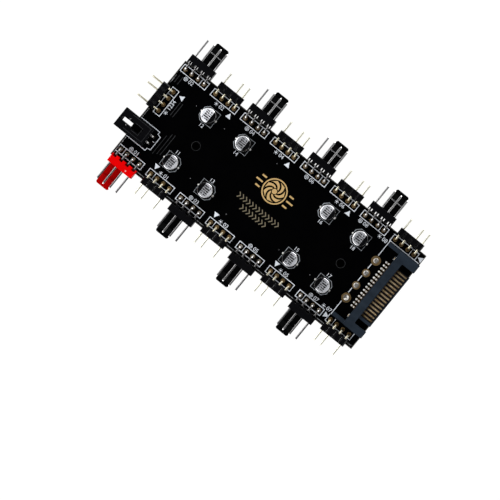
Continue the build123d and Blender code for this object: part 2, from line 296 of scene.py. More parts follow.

# %% [markdown]
# The housings are moulded nylon. The mould leaves a fine spark-eroded grain, which takes the mirror off the
# surface and gives it a soft sheen, and the colour is never quite even. One function makes the black, red and
# slate mouldings, since only their colour and sheen differ. The bars of the light rows are cut from a smoother
# strip. Low parts such as the fan tabs and the plug's tongue get a deeper tone as painted shade, so the colour
# also follows the height. The plug's legs lie lower still and keep its own tone.

# %% Moulded finishes
def moulded(name, dark, light, roughness, grain_depth, gloss,
            shade_high=(4.2, 5.0), shade_share=0.5, shade_low=(-1.0, -0.5)):
    """Nylon in a mix of two tones, with painted shade at heights from shade_low up to shade_high."""
    made = Finish(name, Specular_IOR_Level=gloss)
    grain = made.noise(made.place(), 9.0, 3.0)
    flow = made.noise(made.stretched(0.5, 0.9, 0.5), 0.6, 2.0)
    height = made.node("ShaderNodeSeparateXYZ", None, {0: made.place()}, output="Z")
    # Painted shade: parts between these heights take a darker copy of the tone.
    low_part_shade = made.step(height, *shade_low) * (1 - made.step(height, *shade_high))
    shaded_tone = [shade_share * c for c in dark[:3]] + [1.0]
    made.set(Base_Color=made.mix(low_part_shade, made.mix(flow, dark, light), shaded_tone))
    made.set(Roughness=roughness + grain * 0.16 - flow * 0.06)
    made.bump(grain, grain_depth)
    return made


deep_black, soft_black = rgb(0.0012, 0.0012, 0.0016), rgb(0.0030, 0.0030, 0.0038)
black_moulding = moulded("black_moulding", deep_black, soft_black, 0.36, 0.005, 0.06)
bar_moulding = moulded("bar_moulding", deep_black, soft_black, 0.18, 0.001, 0.40)
red_moulding = moulded("red_moulding", rgb(0.66, 0.0004, 0.0008), rgb(0.80, 0.0006, 0.0012),
                       0.40, 0.006, 0.02, shade_share=0.62)
slate_moulding = moulded("slate_moulding", rgb(0.0070, 0.0110, 0.0170), rgb(0.0205, 0.0300, 0.0430),
                         0.45, 0.010, 0.10, shade_high=(6.4, 6.9), shade_share=0.6, shade_low=(5.0, 5.5))
base_moulding = moulded("base_moulding", rgb(0.001, 0.001, 0.0012), rgb(0.003, 0.003, 0.0036),
                        0.45, 0.006, 0.06)
print("finishes of the mouldings made")

# %% [markdown]
# Metal here is plated: gold or tin on the contacts and pads, and solder on the joints. Drawing leaves fine
# lines along a wire, and handling leaves a few duller patches, so both the colour and the sharpness of the
# mirror change along it. Noise that is stretched along the wire gives those lines.

# %% Plated finishes
along_strip, along_wire, even = (0.8, 14.0, 14.0), (14.0, 0.8, 14.0), (3.0, 3.0, 3.0)


def drawn_metal(name, roughness, lines):
    """Metal with fine lines along it, still without a colour, and the mask of its duller patches."""
    made = Finish(name, Metallic=1.0)
    drawn = made.noise(made.stretched(*lines), 1.0, 2.0)
    worn = made.step(made.noise(made.place(), 0.9, 3.0), 0.45, 0.75)
    made.set(Roughness=roughness + drawn * 0.14 + worn * 0.12)
    made.bump(drawn, 0.002)
    return made, worn


def plated(name, clean, dull, roughness, lines):
    made, worn = drawn_metal(name, roughness, lines)
    made.set(Base_Color=made.mix(worn, clean, dull))
    return made


contact_plate = plated("contact_plate", rgb(0.26, 0.165, 0.07), rgb(0.17, 0.095, 0.035), 0.22, along_strip)
# Painted highlight: the ribs get a lighter gold than the strips they are stamped in.
rib_plate = plated("rib_plate", rgb(0.58, 0.46, 0.28), rgb(0.34, 0.20, 0.08), 0.22, along_strip)
pad_plate = plated("pad_plate", rgb(0.44, 0.30, 0.14), rgb(0.26, 0.16, 0.07), 0.34, (4.0, 4.0, 4.0))
solder = plated("solder", rgb(0.86, 0.85, 0.82), rgb(0.70, 0.68, 0.64), 0.30, even)
pool_solder = plated("pool_solder", rgb(0.62, 0.60, 0.56), rgb(0.42, 0.39, 0.34), 0.30, even)
fan_solder = plated("fan_solder", rgb(0.56, 0.46, 0.34), rgb(0.34, 0.25, 0.16), 0.26, even)
pad_solder = plated("pad_solder", rgb(0.36, 0.24, 0.11), rgb(0.20, 0.12, 0.05), 0.22, even)
print("finishes of the metals made")

# %% [markdown]
# A pin changes along its length. Its free end has a tone of its own on each row and on the inputs, and the
# part between block and pad is painted darker as shade. At the bend over the pad the tin of the fan pins is
# painted near white as a highlight, while on the light pins solder has crept up and browned the gold. The cut
# point of the fan pins is painted near white as a highlight too. The place along the pin mixes these tones, in
# millimetres of the hub's frame: the rows run along x, and the two inputs leave toward -x.

# %% Pin finishes
row_start, free_start = (14.0, 15.0), (19.5, 21.0)  # across the board: header rows, free ends of their pins
input_free_end = (-48.2, -47.6)  # along the board: free ends of the input pins
pad_blend, tip_glint = 0.4, rgb(0.95, 0.94, 0.92)


def pin_plate(name, roughness, free_upper, free_lower, free_input, shaded_gap, bend_glint_and_stain,
              pad_reach, input_pad_x, point):
    """Tones by place: the bend over the pad, painted shade between block and pad, the free end, and a painted
    highlight on its cut point.
    """
    made, _ = drawn_metal(name, roughness, along_wire)
    x, y = [made.node("ShaderNodeSeparateXYZ", None, {0: made.place()}, output=axis) for axis in "XY"]
    in_rows = made.step(abs(y), *row_start)
    over_pad = in_rows * (1 - made.step(abs(y), pad_reach - pad_blend, pad_reach))
    over_pad = over_pad + (1 - in_rows) * made.step(x, input_pad_x - pad_blend, input_pad_x)
    free = made.step(abs(y), *free_start)
    ends = made.mix(made.step(y, -5.0, 5.0), free_lower, free_upper)
    ends = made.mix(made.step(abs(y), point - 0.42, point - 0.36), ends, tip_glint)
    tone = made.mix(free, shaded_gap, ends)
    tone = made.mix((1 - in_rows) * (1 - made.step(x, *input_free_end)), tone, free_input)
    tone = made.mix(over_pad, tone, bend_glint_and_stain)
    patches = made.noise(made.place(), 0.9, 3.0) * 0.2 + 0.9
    made.set(Base_Color=made.mix(patches, rgb(0, 0, 0), tone))
    return made


no_point = 99.0  # past the end of every pin
# Tin: a painted highlight at the bend and on the cut point, and painted shade between block and pad.
tin_plate = pin_plate("tin_plate", 0.14,
                      free_upper=rgb(0.43, 0.425, 0.42), free_lower=rgb(0.20, 0.195, 0.195),
                      free_input=rgb(0.20, 0.195, 0.195), shaded_gap=rgb(0.15, 0.145, 0.145),
                      bend_glint_and_stain=rgb(1.0, 0.98, 0.94), pad_reach=17.2, input_pad_x=-39.95, point=28.72)
# Gold: painted shade between block and pad, and a solder stain at the bend.
gold_plate = pin_plate("gold_plate", 0.22,
                       free_upper=rgb(0.95, 0.93, 0.79), free_lower=rgb(0.98, 0.96, 0.82),
                       free_input=rgb(0.58, 0.55, 0.43), shaded_gap=rgb(0.70, 0.66, 0.51),
                       bend_glint_and_stain=rgb(0.52, 0.36, 0.16), pad_reach=16.95, input_pad_x=-44.25, point=no_point)
print("finishes", tin_plate.material.name, gold_plate.material.name)

# %% [markdown]
# Drawn aluminium has a fine matt face. Turning leaves faint rings round the middle of each can top, and the
# wall carries upright drawing lines. The minus side is marked by black ink that runs over the rounded edge, so
# the mark belongs to the finish and not to a separate shape. Each can keeps its own frame, with the marked
# side at +X, so that a finish can serve any can. Two cans get copies with a lighter, more matt top, which
# paint the stronger light that falls on them.

# %% Can finish
mark_chord, mark_radius = 0.98, 2.44


def can_aluminium(name, lit_matt_share, tone):
    made = Finish(name, Specular_IOR_Level=0.01)
    where = made.place()
    frost = made.noise(where, 16.0, 3.0)
    drawn = made.noise(made.stretched(9.0, 9.0, 0.7), 1.0, 2.0)
    along = made.node("ShaderNodeSeparateXYZ", None, {0: where}, output="X")
    flat = made.node("ShaderNodeVectorMath", {"operation": "MULTIPLY"}, {0: where, 1: (1, 1, 0)})
    off_axis = made.node("ShaderNodeVectorMath", {"operation": "LENGTH"}, {0: flat}, output="Value")
    turned = made.noise(off_axis * 30.0, 1.0, 2.0)
    top_share = made.step(made.facing_up(), 0.93, 0.995)
    past_chord = made.step(along, mark_chord - 0.03, mark_chord + 0.03)
    inked = past_chord * (1 - made.step(off_axis, mark_radius - 0.04, mark_radius))
    frosted = made.mix(frost, rgb(0.56 * tone, 0.57 * tone, 0.60 * tone),
                       rgb(0.72 * tone, 0.73 * tone, 0.76 * tone))
    metal = made.mix(top_share, rgb(0.95, 0.95, 0.96), frosted)
    made.set(Base_Color=made.mix(inked, metal, rgb(0.003, 0.003, 0.0035)))
    made.set(Metallic=(1 - inked) * (1 - top_share * lit_matt_share))
    made.set(Roughness=0.20 + top_share * 0.26 + turned * 0.10)
    made.bump(frost * top_share + drawn * (1 - top_share), 0.006)
    return made


# The second and third copies paint stronger light as a lighter, more matt top.
can_lit_copies = (("bright_can", 0.0, 1.0), ("painted_half_lit_can", 0.4, 1.05), ("painted_lit_can", 1.0, 1.3))
can_finishes = [can_aluminium(*grade) for grade in can_lit_copies]
print(len(can_finishes), "grades of can")

# %% [markdown]
# Ink is printed through a screen, so its edge is crisp but its cover is uneven: the mesh leaves thin spots
# where the black shows through. The white legend, the gold print and the black figures on the cans share it.

# %% Ink finishes
def printed(name, thick, thin, roughness):
    made = Finish(name)
    mesh_marks = made.noise(made.place(), 7.0, 3.0)
    cover = made.step(mesh_marks, 0.28, 0.52)
    made.set(Base_Color=made.mix(cover, thin, thick))
    made.set(Roughness=roughness - cover * 0.12)
    made.bump(mesh_marks, 0.004)
    return made


white_ink = printed("white_ink", rgb(0.81, 0.85, 0.90), rgb(0.62, 0.67, 0.73), 0.62)
gold_ink = printed("gold_ink", rgb(0.60, 0.40, 0.16), rgb(0.45, 0.29, 0.11), 0.52)
dim_ink = printed("dim_gold_ink", rgb(0.20, 0.17, 0.11), rgb(0.13, 0.11, 0.07), 0.55)
black_ink = printed("black_ink", rgb(0.003, 0.003, 0.004), rgb(0.010, 0.010, 0.012), 0.7)
faint_ink = printed("faint_white_ink", rgb(0.40, 0.43, 0.46), rgb(0.16, 0.18, 0.19), 0.62)
print("finishes of the inks made")

# %% [markdown]
# ## Tools for thin pieces
# Solder and cans are round, so they are turned from a profile, as on a lathe. Each tool adds to a mesh that
# is open for building, in millimetres. Plain loops are used, because every point then has a known place.

# %% Turned shapes
def lathe(mesh, profile, centre, segments=24, stretch=(1.0, 1.0)):
    """Turns (radius, height) points about an upright axis; a radius of 0 closes an end in a point."""
    rings = []
    for radius, rise in profile:
        count = segments if radius else 1
        angles = [2 * math.pi * i / segments for i in range(count)]
        rings.append([mesh.verts.new((centre[0] + stretch[0] * radius * math.cos(a),
                                      centre[1] + stretch[1] * radius * math.sin(a),
                                      centre[2] + rise)) for a in angles])
    for lower, upper in zip(rings, rings[1:]):
        for i in range(segments):
            j = (i + 1) % segments
            corners = [lower[i % len(lower)], lower[j % len(lower)],
                       upper[j % len(upper)], upper[i % len(upper)]]
            mesh.faces.new(list(dict.fromkeys(corners)))


print("lathe ready")

# %% [markdown]
# Printed lines are ribbons of even width with mitred corners, and printed fields are slabs. Both have a true
# thickness, so that ink stands on the board as a thin layer.

# %% Ribbons and slabs
def ribbon(mesh, points, width, low, high, closed=False):
    """A band of even width along a path seen from above, with mitred corners."""
    points = [Vector(p) for p in points]
    stations = []
    for i, point in enumerate(points):
        before = points[i - 1] if closed or i else None
        after = points[(i + 1) % len(points)] if closed or i < len(points) - 1 else None
        spans = ((before, point), (point, after))
        runs = [(b - a).normalized() for a, b in spans if a is not None and b is not None]
        sides = [Vector((-run.y, run.x)) for run in runs]
        middle = sum(sides, Vector((0, 0))).normalized()
        offset = middle * (width / 2 / middle.dot(sides[0]))
        edges = (point - offset, point + offset)
        stations.append([mesh.verts.new((*edge, z)) for edge, z in
                         ((edges[0], low), (edges[1], low), (edges[1], high), (edges[0], high))])
    pairs = list(zip(stations, stations[1:]))
    if closed:
        pairs.append((stations[-1], stations[0]))
    for first, second in pairs:
        for i in range(4):
            mesh.faces.new((first[i], second[i], second[i - 3], first[i - 3]))
    if not closed:
        mesh.faces.new(stations[0])
        mesh.faces.new(stations[-1][::-1])


def slab(mesh, outline, low, high):
    """A flat field with an outline given anticlockwise from above."""
    under = [mesh.verts.new((*p, low)) for p in outline]
    over = [mesh.verts.new((*p, high)) for p in outline]
    mesh.faces.new(under[::-1])
    mesh.faces.new(over)
    for i in range(len(outline)):
        j = (i + 1) % len(outline)
        mesh.faces.new((under[i], under[j], over[j], over[i]))


print("ribbon and slab ready")

# %% [markdown]
# A bent wire or a stamped rib is one section that is carried along a path. A curve with a bevel could do it
# too, but its section may turn at a bend, so the two axes are given at each station.

# %% Swept shapes
def rounded_square(rounding, per_corner=4):
    """Points of a square of half width 1, with corners rounded by that share of it."""
    points = []
    for corner in range(4):
        middle = Matrix.Rotation(math.radians(90 * corner), 2) @ Vector((1 - rounding, 1 - rounding))
        for k in range(per_corner):
            angle = math.radians(90 * corner + 90 * k / (per_corner - 1))
            points.append(middle + rounding * Vector((math.cos(angle), math.sin(angle))))
    return points


def sweep(mesh, section, stations):
    """Carries a section along stations of (centre, first axis, second axis), and caps both ends."""
    rings = []
    for centre, first, second in stations:
        rings.append([mesh.verts.new(centre + p.x * first + p.y * second) for p in section])
    for here, there in zip(rings, rings[1:]):
        for i in range(len(section)):
            mesh.faces.new((here[i - 1], here[i], there[i], there[i - 1]))
    mesh.faces.new(rings[0][::-1])
    mesh.faces.new(rings[-1])


print("sweep ready")

# %% [markdown]
# One last function turns an open mesh into a named piece in metres that rides on the hub. It shades the piece
# smooth and keeps its sharp edges.

# %% Ending a piece
def piece(name, mesh, finish, smooth_degrees=35.0, stand=Matrix()):
    """Ends the building of a mesh: a named piece in metres, shaded smooth apart from sharp edges."""
    bmesh.ops.recalc_face_normals(mesh, faces=mesh.faces[:])
    data = bpy.data.meshes.new(name)
    mesh.to_mesh(data)
    mesh.free()
    data.transform(Matrix.Scale(mm, 4))
    data.shade_smooth()
    data.set_sharp_from_angle(angle=math.radians(smooth_degrees))
    data.materials.append(finish.material)
    made = bpy.data.objects.new(name, data)
    made.matrix_world = stand
    scene.collection.objects.link(made)
    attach(made, "root")
    print(name, len(data.polygons), "faces")
    return made


def box_mm(node):
    low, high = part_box(node)
    return low / mm, high / mm


print("pieces can be ended")

# %% [markdown]
# ## The CAD pieces
# No moulded or stamped edge is sharp. A Bevel modifier on each CAD piece gives it the small radius that
# catches the light, and a Weld before it joins the faces, which arrive split along their edges.

# %% Dress the CAD pieces
def dress(node, finish, radius):
    shown = nodes[node]
    shown.data.materials.clear()
    shown.data.materials.append(finish.material)
    weld = shown.modifiers.new("joined_faces", "WELD")
    weld.merge_threshold = 1e-6
    eased = shown.modifiers.new("eased_edges", "BEVEL")
    eased.width, eased.segments = radius * mm, 2
    eased.limit_method, eased.angle_limit = "ANGLE", math.radians(30)
    eased.use_clamp_overlap = True
    shading = shown.modifiers.new("even_shading", "WEIGHTED_NORMAL")
    shading.keep_sharp = True


fan_names = [f"fan_header_{n}" for n in range(1, 9)]
light_names = [f"led_header_{n}" for n in range(1, 9)] + ["led_input"]
dress("circuit_board", mask_black, 0.06)
for name in fan_names:
    dress(f"{name}_housing", red_moulding if name == "fan_header_1" else black_moulding, 0.08)
    dress(f"{name}_pins", tin_plate, 0.12)
for name in light_names:
    dress(f"{name}_housing", bar_moulding, 0.06)
    dress(f"{name}_pins", gold_plate, 0.12)
dress("signal_socket_housing", black_moulding, 0.08)
dress("signal_socket_pins", tin_plate, 0.12)
dress("power_plug_housing", slate_moulding, 0.10)
dress("power_plug_contacts", contact_plate, 0.10)
dress("power_plug_hold_downs", tin_plate, 0.06)
dress("capacitor_leads", solder, 0.03)
for n in range(1, 9):
    dress(f"capacitor_{n}_base", base_moulding, 0.08)
    dress(f"capacitor_{n}_can", can_finishes[0], 0.1)
print("CAD pieces dressed")

# %% [markdown]
# ## Pads and solder
# Each tail stands in a cone of solder that climbs the pin, and those of the fan and light rows in a plated
# ring as well. The rows of pads are read from the boxes of the pins: a tail is half a pin in from the inner
# end of its box.

# %% Find every pad
pin_pitch, pin_half = 2.54, 0.32
board_low, board_high = box_mm("circuit_board")
board_top, board_under = board_high.z, board_low.z
board_middle = (board_low + board_high) / 2


def row_pads(node):
    """Places of a header's tails, with the direction in which its pins leave."""
    low, high = box_mm(node)
    if node.startswith(("led_input", "signal")):
        count = round((high.y - low.y - 2 * pin_half) / pin_pitch) + 1
        return [(high.x - pin_half, low.y + pin_half + i * pin_pitch) for i in range(count)], Vector((-1, 0))
    side = 1 if low.y > 0 else -1
    pad_y = low.y + pin_half if side > 0 else high.y - pin_half
    count = round((high.x - low.x - 2 * pin_half) / pin_pitch) + 1
    return [(low.x + pin_half + i * pin_pitch, pad_y) for i in range(count)], Vector((0, side))


fan_pads = [pad for name in fan_names for pad in row_pads(f"{name}_pins")[0]]
light_pads = [pad for name in light_names for pad in row_pads(f"{name}_pins")[0]]
socket_pads = row_pads("signal_socket_pins")[0]
print(len(fan_pads), "fan pads,", len(light_pads), "light pads,", len(socket_pads), "socket pads")

# %% [markdown]
# ## Pins
# A pin is square wire with rounded corners, bent over a small tool and then cut to a point. The solids have a
# bevel in place of the bend. Here each pin is swept along its real path, because the round corner and the
# round bend are what glints in the picture. The cut pins of the light rows end inside their bars.

# %% Bent pins
wire_section = rounded_square(0.80)
bend_radius, point_length, stub_inside = 0.72, 0.4, 0.3


def bent_pin(mesh, pad, out, reach, height, tail):
    foot, outward, up = Vector((*pad, 0)), Vector((*out, 0)), Vector((0, 0, 1))
    across = outward.cross(up) * pin_half
    centre = foot + outward * bend_radius + up * (height - bend_radius)
    stations = [(foot + up * tail, across, -outward * pin_half)]
    for angle in range(0, 91, 15):
        normal = up * math.sin(math.radians(angle)) - outward * math.cos(math.radians(angle))
        stations.append((centre + normal * bend_radius, across, normal * pin_half))
    for share, thick in ((1.0, 1.0), (0.8, 0.89), (0.0, 0.45)):
        tip = foot + outward * (reach - share * point_length) + up * height
        stations.append((tip, across * thick, up * pin_half * thick))
    sweep(mesh, wire_section, stations)


for name in fan_names + light_names + ["signal_socket"]:
    low, high = box_mm(f"{name}_pins")
    block_low, block_high = box_mm(f"{name}_housing")
    pads, out = row_pads(f"{name}_pins")
    pad = Vector(pads[0])
    pin_reach = max((corner.xy - pad).dot(out) for corner in (low, high))
    block_reach = max((corner.xy - pad).dot(out) for corner in (block_low, block_high))
    cut = (2 if out.y < 0 else 1) if name in light_names else None
    wires = bmesh.new()
    for index, pad in enumerate(pads):
        reach = block_reach - stub_inside if index == cut else pin_reach
        bent_pin(wires, pad, out, reach, high.z - pin_half, low.z)
    finish, slot = (gold_plate, "gold") if name in light_names else (tin_plate, "tin")
    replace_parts(piece(f"{name}_bent_pins", wires, finish, 60), f"{name}_pins")

# %% [markdown]
# A plated ring lies round every hole of the fan and light rows, on both faces of the board. It is a flat
# washer of copper with a gold tint, so a closed profile is turned about the pin.

# %% Plated rings
pad_radius, ring_bore, plate = 0.72, 0.40, 0.035
flat_ring = [(ring_bore, 0.0), (pad_radius, 0.0), (pad_radius, plate), (ring_bore, plate), (ring_bore, 0.0)]
rings = bmesh.new()
for x, y in fan_pads + light_pads:
    lathe(rings, flat_ring, (x, y, board_top))
    lathe(rings, flat_ring, (x, y, board_under - plate))
piece("plated_rings", rings, pad_plate)

# %% [markdown]
# Molten solder climbs a hot pin and sets as a small steep cone, and below the board it hangs as a drop.
# The rows differ in the size and colour of their cones, so each of them is a piece with a finish of its own.
# The lighter solder of the lower fan row is a painted highlight.

# %% Solder cones
cone = [(0.0, 0.01), (0.64, 0.01), (0.63, 0.10), (0.58, 0.24), (0.53, 0.44), (0.47, 0.66),
        (0.38, 0.86), (0.0, 0.90)]
drop = [(0.0, 0.01), (0.84, 0.01), (0.82, 0.08), (0.68, 0.20), (0.55, 0.42), (0.46, 0.72),
        (0.38, 1.00), (0.0, 1.06)]
lower_solder = bmesh.new()
upper_fan_pads, lower_fan_pads = [[pad for pad in fan_pads if pad[1] * side > 0] for side in (1, -1)]
solder_jobs = (("upper_fan_solder", upper_fan_pads, fan_solder, 1.0),
               # Painted highlight: the lower fan row takes the lighter solder.
               ("lower_fan_solder", lower_fan_pads, pool_solder, 1.0),
               ("light_solder", light_pads, pad_solder, 0.60),
               ("socket_solder", socket_pads, fan_solder, 0.75))
for name, pads, finish, size in solder_jobs:
    upper_solder = bmesh.new()
    for x, y in pads:
        lathe(upper_solder, [(r * size, h) for r, h in cone], (x, y, board_top))
        lathe(lower_solder, [(r, -h) for r, h in drop], (x, y, board_under))
    piece(name, upper_solder, finish, 60)
piece("underside_solder", lower_solder, solder, 60)

# %% [markdown]
# Four larger pads beside the plug are spare and are filled with solder: a broad plated ring and a shallow
# grey pool in the middle. The pool of the one nearest the lower edge has drawn back into a bowl.

# %% Spare pads
spare_x, spare_y, spare_pitch = 40.83, -0.25, 5.08
spare_radii = (1.60, 1.32, 1.32, 1.60)
spare_bore, spare_plate = 0.8, 0.04
spare_rings = bmesh.new()
pools = bmesh.new()
pool = [(0.0, 0.0), (0.88, 0.0), (0.84, 0.09), (0.66, 0.17), (0.44, 0.20), (0.24, 0.14), (0.0, 0.10)]
bowl = [(0.0, 0.0), (0.98, 0.0), (0.96, 0.44), (0.88, 0.50), (0.76, 0.42), (0.46, 0.14), (0.0, 0.06)]
for index, radius in enumerate(spare_radii):
    y = spare_y + (index - 1.5) * spare_pitch
    ring = [(spare_bore, 0.0), (radius, 0.0), (radius, spare_plate), (spare_bore, spare_plate),
            (spare_bore, 0.0)]
    lathe(spare_rings, ring, (spare_x, y, board_top), 40)
    lathe(spare_rings, ring, (spare_x, y, board_under - spare_plate), 40)
    lathe(pools, bowl if index == 0 else pool, (spare_x, y, board_top), 32)
    lathe(pools, [(r, -3 * h) for r, h in pool], (spare_x, y, board_under), 32)
piece("spare_pad_rings", spare_rings, pad_plate)
piece("spare_pad_solder", pools, pool_solder, 60)

# %% [markdown]
# The feet of the power plug and the leads of the capacitors lie flat on their pads. Solder wets their ends
# into small mounds, which are what shines in the picture.

# %% Surface solder
mound = [(0.0, 0.0), (1.0, 0.0), (0.95, 0.30), (0.80, 0.60), (0.55, 0.85), (0.28, 0.97), (0.0, 1.0)]


def solder_mound(mesh, x, y, half_x, half_y, rise):
    lathe(mesh, [(r, h * rise) for r, h in mound], (x, y, board_top), 20, (half_x, half_y))


def flat_pad(mesh, x, y, half_x, half_y):
    corners = [(x + i * half_x, y + j * half_y) for i, j in square]
    slab(mesh, corners, board_top - 0.01, board_top + 0.03)


print("mounds and flat pads can be set")

# %% [markdown]
# Each foot of the plug is wetted at its end and again at its heel. The two leads of a capacitor stick out on
# opposite sides, each on its own flat pad. The solder of the two hold-downs is browned by flux.

# %% Solder on feet and leads
contact_low, contact_high = box_mm("power_plug_contacts")
contact_count = 15
contact_pitch = 1.27
first_contact = (contact_low.y + contact_high.y) / 2 - (contact_count - 1) / 2 * contact_pitch
foot_mounds = ((0.14, 0.50), (1.02, 0.42))  # place along a foot, and half the length there
mound_half, mound_rise, nail_half, lead_reach = 0.38, 0.40, 0.6, 2.80
feet_solder = bmesh.new()
dim_solder = bmesh.new()
flat_pads = bmesh.new()
for index in range(contact_count):
    y = first_contact + index * contact_pitch
    for inward, half in foot_mounds:
        solder_mound(feet_solder, contact_low.x + inward, y, half, mound_half, mound_rise)
nail_low, nail_high = box_mm("power_plug_hold_downs")
for y in (nail_low.y + nail_half, nail_high.y - nail_half):
    solder_mound(dim_solder, nail_low.x + 0.22, y, 0.20, 0.34, 0.42)
can_places = {}
for n in range(1, 9):
    low, high = box_mm(f"capacitor_{n}_base")
    can_places[n] = (low + high) / 2
    for end in (-1, 1):
        x = can_places[n].x + end * lead_reach
        flat_pad(flat_pads, x, can_places[n].y, 0.36, 0.34)
        solder_mound(feet_solder, x + end * 0.05, can_places[n].y, 0.46, 0.46, 0.50)
piece("hold_down_solder", dim_solder, pad_solder, 60)
piece("surface_pads", flat_pads, pad_plate)
piece("surface_solder", feet_solder, solder, 60)

# %% [markdown]
# The strips on the tongue are stamped with a low rib, so that a socket's spring touches them along the middle.
# The rib is swept along each strip, and its round back mirrors the side lights as a fine bright line. Its gold
# is lighter than that of the strips, as a painted highlight.

# %% Ribbed contacts
plug_low, plug_high = box_mm("power_plug_housing")
rib_start, rib_half, rib_rise, rib_sunk = 4.45, 0.12, 0.08, 0.05
rib = [Vector((rib_half * math.cos(a), rib_rise * math.sin(a))) for a in [math.pi * k / 8 for k in range(9)]]
rib += [Vector((-rib_half, -rib_sunk)), Vector((rib_half, -rib_sunk))]
strips = bmesh.new()
for index in range(contact_count):
    y = first_contact + index * contact_pitch
    start, end = plug_high.x - rib_start, contact_high.x
    stations = []
    shares = ((start, 0.3), (start + 0.9, 0.8), (start + 1.6, 1.0), (end - 0.5, 1.0), (end - 0.02, 0.4))
    for x, share in shares:
        stations.append((Vector((x, y, contact_high.z)), Vector((0, share, 0)), Vector((0, 0, share))))
    sweep(strips, rib, stations)
piece("contact_ribs", strips, rib_plate, 50)

# %% [markdown]
# ## Capacitors
# A can is drawn from aluminium sheet: a rounded top edge, a plain wall, and a crimp near the foot that grips
# the rubber seal. It is turned from a profile that keeps the CAD can's radius and height.

# %% Turned cans
def can_profile(radius, rise):
    """From the middle of the foot, up the wall with its crimp, round the edge and in to the middle."""
    edge = 0.34
    wall = [(0.0, 0.0), (radius - 0.12, 0.0), (radius - 0.02, 0.10), (radius, 0.22), (radius, 0.62)]
    crimp = [(radius - 0.06, 0.72), (radius - 0.20, 0.84), (radius - 0.24, 0.96), (radius - 0.20, 1.08),
             (radius - 0.06, 1.20), (radius, 1.30)]
    arc = [(radius - edge + edge * math.cos(a), rise - edge + edge * math.sin(a))
           for a in [math.radians(15 * k) for k in range(7)]]
    top = [(radius - edge - 0.12, rise - 0.012), (radius - edge - 0.22, rise - 0.035), (0.0, rise - 0.035)]
    return wall + crimp + arc + top


# Cans 2 and 6 take the lighter copies, which paint the light on their tops.
lit_copy_of_can = {2: 2, 6: 1}  # number of a can, and its place in can_finishes
for n, middle in can_places.items():
    low, high = box_mm(f"capacitor_{n}_can")
    turned = bmesh.new()
    lathe(turned, can_profile((high.x - low.x) / 2, high.z - low.z), (0, 0, 0), 72)
    stand = Matrix.Translation(Vector((middle.x, middle.y, low.z)) * mm)
    if middle.y < 0:
        stand = stand @ Matrix.Rotation(math.pi, 4, "Z")
    finish = can_finishes[lit_copy_of_can.get(n, 0)]
    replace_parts(piece(f"capacitor_{n}_drawn_can", turned, finish, 50, stand), f"capacitor_{n}_can")

# %% [markdown]
# ## Print
# Figures come from Blender's own font. Each one is set as text, turned into a mesh and placed, and all the
# figures of one ink end up in one piece.

# %% Figures
figure_height = 0.70  # of a figure in this font, as a share of the text size


def figures(mesh, text, x, y, tall, low, high, turned=0.0, bold=0.0, spread=1.0):
    """Adds a row of figures, middle at (x, y), lying flat between two heights."""
    curve = bpy.data.curves.new("figures", "FONT")
    curve.body, curve.size = text, tall / figure_height
    curve.align_x, curve.align_y = "CENTER", "CENTER"
    curve.extrude, curve.offset, curve.space_character = (high - low) / 2, bold, spread
    curve.resolution_u = 3
    holder = bpy.data.objects.new("figures", curve)
    scene.collection.objects.link(holder)
    ready = holder.evaluated_get(bpy.context.evaluated_depsgraph_get())
    shape = bpy.data.meshes.new_from_object(ready)
    bpy.data.objects.remove(holder)
    bpy.data.curves.remove(curve)
    spin = Matrix.Rotation(math.radians(turned), 4, "Z")
    shape.transform(Matrix.Translation((x, y, (low + high) / 2)) @ spin)
    mesh.from_mesh(shape)
    bpy.data.meshes.remove(shape)


print("figures can be set")

# %% [markdown]
# Each can top carries three rows of plain figures in black ink. They lie a hair above the metal, because two
# faces at the same height would flicker.

# %% Print on the cans
can_print = bmesh.new()
for n, middle in can_places.items():
    top = box_mm(f"capacitor_{n}_can")[1].z - 0.02
    minus = 1 if middle.y > 0 else -1
    for row, text in enumerate(("47416", "10168", "85041")):
        x = middle.x + minus * (0.56 - 0.74 * row)
        figures(can_print, text, x, middle.y, 0.64, top - 0.01, top + 0.012, 90 * minus, 0.09, 1.5)
piece("can_print", can_print, black_ink)

# %% [markdown]
# The white legend frames every row of pads, sets off the first pin of each, outlines the capacitors and the
# two inputs, and points at pin one with a triangle. Its lines are ribbons a quarter of a millimetre wide.

# %% Legend lines
ink_low, ink_high = board_top - 0.01, board_top + 0.02
line = 0.24
frame_half, frame_deep = 2 * pin_pitch, pin_pitch / 2
lines = bmesh.new()


def legend(points, closed=False, width=line):
    ribbon(lines, points, width, ink_low, ink_high, closed)


for name in fan_names + light_names[:-1]:
    pads, out = row_pads(f"{name}_pins")
    middle_x, side = sum(x for x, _ in pads) / 4, out.y
    row_y = pads[0][1]
    corners = [(middle_x + side * i * frame_half, row_y + side * j * frame_deep) for i, j in square]
    beside_plug = name == "led_header_7"
    legend(corners[1:] + corners[:1] if beside_plug else corners, closed=not beside_plug)
    divider = middle_x + side * pin_pitch
    legend([(divider, row_y - frame_deep + line / 2), (divider, row_y + frame_deep - line / 2)])

input_pads, _ = row_pads("led_input_pins")
input_x, input_y = input_pads[0][0], sum(y for _, y in input_pads) / 4
input_frame_x = input_x + 0.15
legend([(input_frame_x + i * frame_deep, input_y + j * frame_half)
        for i, j in ((1, -1), (1, 1), (-1, 1), (-1, -1))], closed=True)
legend([(input_frame_x + end * (frame_deep - line / 2), input_y + pin_pitch) for end in (-1, 1)])
print("frames drawn")

# %% [markdown]
# At the input end a line follows the socket with stepped corners. At the other end one long line runs behind
# the plug and stops short of each spare pad, because ink doesn't hold on solder.

